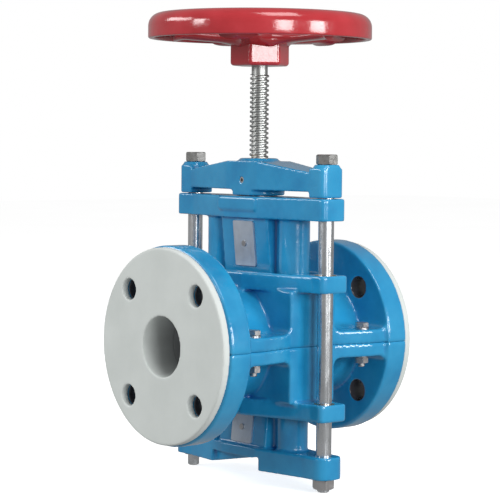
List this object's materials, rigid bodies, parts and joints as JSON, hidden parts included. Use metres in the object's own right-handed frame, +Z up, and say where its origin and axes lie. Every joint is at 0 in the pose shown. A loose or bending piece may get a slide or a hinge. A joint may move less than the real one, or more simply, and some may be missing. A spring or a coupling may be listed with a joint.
{
  "type": "pinch valve",
  "caption": "Hand-operated double-acting pinch valve: flanged split cast body, rubber sleeve, two tie rods, sliding bridges, threaded spindle and red handwheel.",
  "frame": {"origin": "centre of the flow bore, midway between the two sealing faces", "axes": "+X along the flow bore, +Y along the line of the two tie rods, +Z up the spindle to the handwheel"},
  "size_m": [0.205, 0.196, 0.3927],
  "materials": {
    "blue_paint": "gloss",
    "red_paint": "gloss",
    "white_rubber": "matt",
    "bright_steel": "ground",
    "zinc_steel": "zinc plated",
    "bronze": "machined",
    "plate_steel": "satin",
    "bar_steel": "machined"
  },
  "bodies": {
    "body": {"upper_body": "blue_paint", "lower_body": "blue_paint", "sleeve_tube": "white_rubber", "sleeve_ends": "white_rubber", "body_bolts": "zinc_steel", "body_nuts": "zinc_steel", "body_washers": "zinc_steel", "rod_bushes": "bronze"},
    "carriage": {"upper_carriage": "blue_paint", "upper_pinch_bar": "bar_steel", "upper_bar_screws": "zinc_steel", "spindle_bush": "bronze", "thrust_washer": "bronze", "spindle_retainer": "bar_steel", "retainer_screws": "zinc_steel", "upper_type_plate": "plate_steel", "upper_plate_rivet": "zinc_steel"},
    "yoke": {"top_bridge": "blue_paint", "spindle_nut": "bronze", "nut_set_screw": "zinc_steel", "tie_rods": "bright_steel", "upper_rod_nuts": "zinc_steel", "lower_rod_nuts": "zinc_steel", "lower_bridge": "blue_paint", "lower_pinch_bar": "bar_steel", "lower_bar_screws": "zinc_steel", "lower_type_plate": "plate_steel", "lower_plate_rivet": "zinc_steel"},
    "wheel": {"spindle": "bright_steel", "handwheel": "red_paint", "wheel_key": "bar_steel", "wheel_washer": "zinc_steel", "wheel_nut": "zinc_steel"}
  },
  "joints": [
    {"name": "carriage_slide", "type": "slide", "parent": "body", "child": "carriage", "axis": [0, 0, -1], "range_m": [0, 0.025], "deforming": ["sleeve_tube"]},
    {"name": "yoke_slide", "type": "slide", "parent": "body", "child": "yoke", "axis": [0, 0, 1], "range_m": [0, 0.025], "deforming": ["sleeve_tube"]},
    {"name": "handwheel_spin", "type": "hinge", "parent": "carriage", "child": "wheel", "pos_m": [0, 0, 0.2], "axis": [0, 0, -1], "range_deg": [0, 4500]}
  ],
  "couplings": [
    {"joint": "carriage_slide", "follows": "handwheel_spin", "m_per_rad": 0.00031831},
    {"joint": "yoke_slide", "follows": "handwheel_spin", "m_per_rad": 0.00031831}
  ]
}
